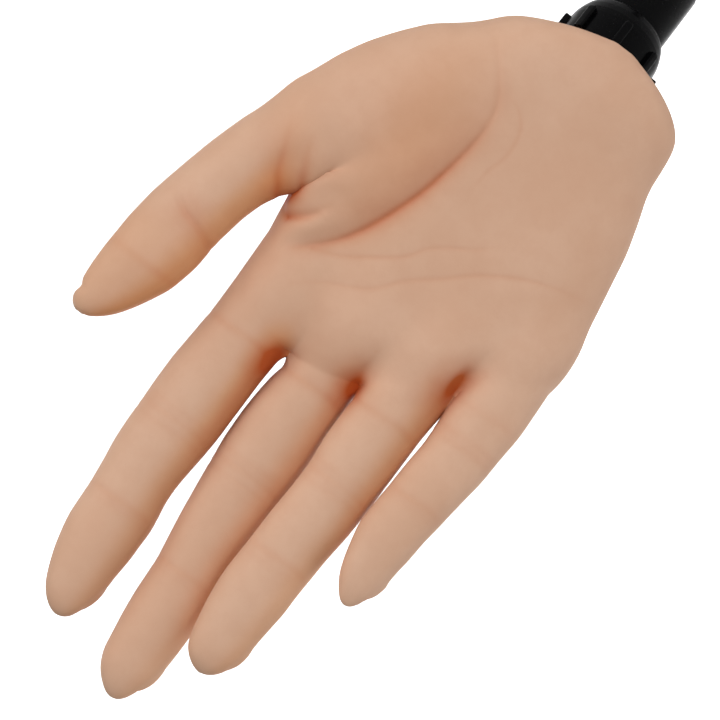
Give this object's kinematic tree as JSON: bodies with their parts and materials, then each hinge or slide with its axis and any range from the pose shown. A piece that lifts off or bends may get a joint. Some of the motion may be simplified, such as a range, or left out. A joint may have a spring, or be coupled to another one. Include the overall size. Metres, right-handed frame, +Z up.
{
  "type": "nail practice hand",
  "caption": "Silicone right hand with bendable jointed fingers and moulded nail seats, on a ribbed locking nut and a tilting arm with a table clamp.",
  "frame": {"origin": "on the table top, under the axis of the swivel post: a point of the jaw pad's lower face", "axes": "+Z up along the swivel post; the palm faces -Y at rest and the thumb points to +X"},
  "size_m": [0.1032, 0.0922, 0.4555],
  "materials": {
    "silicone_skin": "matt skin-coloured silicone",
    "nylon": "moulded natural nylon",
    "steel": "bright turned steel",
    "black_plastic": "moulded black plastic, semi-gloss",
    "black_tube": "satin black tube",
    "black_enamel": "fine-textured black enamel on casting",
    "rubber_pad": "matt black rubber"
  },
  "bodies": {
    "clamp": {"clamp_bracket": "black_enamel", "jaw_pad": "rubber_pad"},
    "pad": {"pressure_pad": "black_plastic"},
    "screw": {"clamp_screw": "steel", "screw_knob": "black_plastic"},
    "post": {"swivel_post": "black_enamel", "tilt_bolt": "steel"},
    "post_screw": {"post_screw": "black_plastic"},
    "tilt_knob": {"tilt_knob": "black_plastic"},
    "arm": {"neck_socket": "black_plastic", "arm_tube": "black_tube", "arm_foot": "black_enamel", "collet": "nylon"},
    "nut": {"lock_nut": "black_plastic"},
    "hand": {"palm_skin": "silicone_skin", "palm_plate": "nylon", "wrist_stem": "steel", "index_base_pin": "steel", "middle_base_pin": "steel", "ring_base_pin": "steel", "little_base_pin": "steel", "thumb_base_pin": "steel"},
    "index_1": {"index_proximal_skin": "silicone_skin", "index_proximal_bone": "nylon", "index_middle_pin": "steel"},
    "index_2": {"index_middle_skin": "silicone_skin", "index_middle_bone": "nylon", "index_end_pin": "steel"},
    "index_3": {"index_distal_skin": "silicone_skin", "index_distal_bone": "nylon"},
    "middle_1": {"middle_proximal_skin": "silicone_skin", "middle_proximal_bone": "nylon", "middle_middle_pin": "steel"},
    "middle_2": {"middle_middle_skin": "silicone_skin", "middle_middle_bone": "nylon", "middle_end_pin": "steel"},
    "middle_3": {"middle_distal_skin": "silicone_skin", "middle_distal_bone": "nylon"},
    "ring_1": {"ring_proximal_skin": "silicone_skin", "ring_proximal_bone": "nylon", "ring_middle_pin": "steel"},
    "ring_2": {"ring_middle_skin": "silicone_skin", "ring_middle_bone": "nylon", "ring_end_pin": "steel"},
    "ring_3": {"ring_distal_skin": "silicone_skin", "ring_distal_bone": "nylon"},
    "little_1": {"little_proximal_skin": "silicone_skin", "little_proximal_bone": "nylon", "little_middle_pin": "steel"},
    "little_2": {"little_middle_skin": "silicone_skin", "little_middle_bone": "nylon", "little_end_pin": "steel"},
    "little_3": {"little_distal_skin": "silicone_skin", "little_distal_bone": "nylon"},
    "thumb_1": {"thumb_proximal_skin": "silicone_skin", "thumb_proximal_bone": "nylon", "thumb_end_pin": "steel"},
    "thumb_2": {"thumb_distal_skin": "silicone_skin", "thumb_distal_bone": "nylon"}
  },
  "joints": [
    {"name": "pad_slide", "type": "slide", "parent": "clamp", "child": "pad", "axis": [0, 0, 1], "range_m": [-0.022, 0.018]},
    {"name": "screw_turn", "type": "hinge", "parent": "pad", "child": "screw", "pos_m": [0, -0.01, -0.06], "axis": [0, 0, 1], "range_deg": [-1985, 1625]},
    {"name": "post_swivel", "type": "hinge", "parent": "clamp", "child": "post", "pos_m": [0, 0, 0.02], "axis": [0, 0, 1], "range_deg": [-175, 175]},
    {"name": "post_screw_turn", "type": "hinge", "parent": "clamp", "child": "post_screw", "pos_m": [0.015, 0, 0.021], "axis": [1, 0, 0], "range_deg": [-180, 180]},
    {"name": "arm_tilt", "type": "hinge", "parent": "post", "child": "arm", "pos_m": [0, 0, 0.047], "axis": [1, 0, 0], "range_deg": [-53, 47]},
    {"name": "tilt_knob_turn", "type": "hinge", "parent": "post", "child": "tilt_knob", "pos_m": [0.015, 0, 0.047], "axis": [1, 0, 0], "range_deg": [-180, 180]},
    {"name": "nut_turn", "type": "hinge", "parent": "arm", "child": "nut", "pos_m": [0, -0.04559, 0.14047], "axis": [0, -0.4384, 0.8988], "range_deg": [-150, 150]},
    {"name": "wrist_turn", "type": "hinge", "parent": "arm", "child": "hand", "pos_m": [0, -0.04559, 0.14047], "axis": [0, -0.4384, 0.8988], "range_deg": [-175, 175]},
    {"name": "index_base_bend", "type": "hinge", "parent": "hand", "child": "index_1", "pos_m": [0.02713, -0.04776, 0.2518], "axis": [0.9933, 0.0834, 0.0798], "range_deg": [-8, 45]},
    {"name": "index_middle_bend", "type": "hinge", "parent": "index_1", "child": "index_2", "pos_m": [0.02721, -0.04839, 0.27379], "axis": [0.9933, 0.0834, 0.0798], "range_deg": [-2, 55]},
    {"name": "index_end_bend", "type": "hinge", "parent": "index_2", "child": "index_3", "pos_m": [0.02557, -0.05009, 0.29662], "axis": [0.9933, 0.0834, 0.0798], "range_deg": [-4, 35]},
    {"name": "middle_base_bend", "type": "hinge", "parent": "hand", "child": "middle_1", "pos_m": [0.00681, -0.04552, 0.25186], "axis": [0.9903, 0.1035, 0.0923], "range_deg": [-8, 45]},
    {"name": "middle_middle_bend", "type": "hinge", "parent": "middle_1", "child": "middle_2", "pos_m": [0.00595, -0.04559, 0.27397], "axis": [0.9903, 0.1035, 0.0923], "range_deg": [-2, 55]},
    {"name": "middle_end_bend", "type": "hinge", "parent": "middle_2", "child": "middle_3", "pos_m": [0.0032, -0.04739, 0.3009], "axis": [0.9903, 0.1035, 0.0923], "range_deg": [-4, 35]},
    {"name": "ring_base_bend", "type": "hinge", "parent": "hand", "child": "ring_1", "pos_m": [-0.01184, -0.05103, 0.24573], "axis": [0.9981, 0.0578, 0.0206], "range_deg": [-2, 45]},
    {"name": "ring_middle_bend", "type": "hinge", "parent": "ring_1", "child": "ring_2", "pos_m": [-0.01226, -0.05304, 0.26208], "axis": [0.9981, 0.0578, 0.0206], "range_deg": [-2, 55]},
    {"name": "ring_end_bend", "type": "hinge", "parent": "ring_2", "child": "ring_3", "pos_m": [-0.01173, -0.05499, 0.28326], "axis": [0.9981, 0.0578, 0.0206], "range_deg": [-4, 35]},
    {"name": "little_base_bend", "type": "hinge", "parent": "hand", "child": "little_1", "pos_m": [-0.02984, -0.05091, 0.2293], "axis": [1, 0.0001, -0.0003], "range_deg": [-4, 40]},
    {"name": "little_middle_bend", "type": "hinge", "parent": "little_1", "child": "little_2", "pos_m": [-0.0299, -0.05371, 0.24023], "axis": [1, 0.0001, -0.0003], "range_deg": [-2, 50]},
    {"name": "little_end_bend", "type": "hinge", "parent": "little_2", "child": "little_3", "pos_m": [-0.02882, -0.05759, 0.25547], "axis": [1, 0.0001, -0.0003], "range_deg": [-4, 35]},
    {"name": "thumb_base_bend", "type": "hinge", "parent": "hand", "child": "thumb_1", "pos_m": [0.04898, -0.0552, 0.21105], "axis": [0.8925, -0.3968, -0.2144], "range_deg": [-6, 16]},
    {"name": "thumb_end_bend", "type": "hinge", "parent": "thumb_1", "child": "thumb_2", "pos_m": [0.0543, -0.05759, 0.2338], "axis": [0.8925, -0.3968, -0.2144], "range_deg": [-6, 30]}
  ],
  "couplings": [
    {"joint": "screw_turn", "follows": "pad_slide", "rad_per_m": 1570.8}
  ]
}
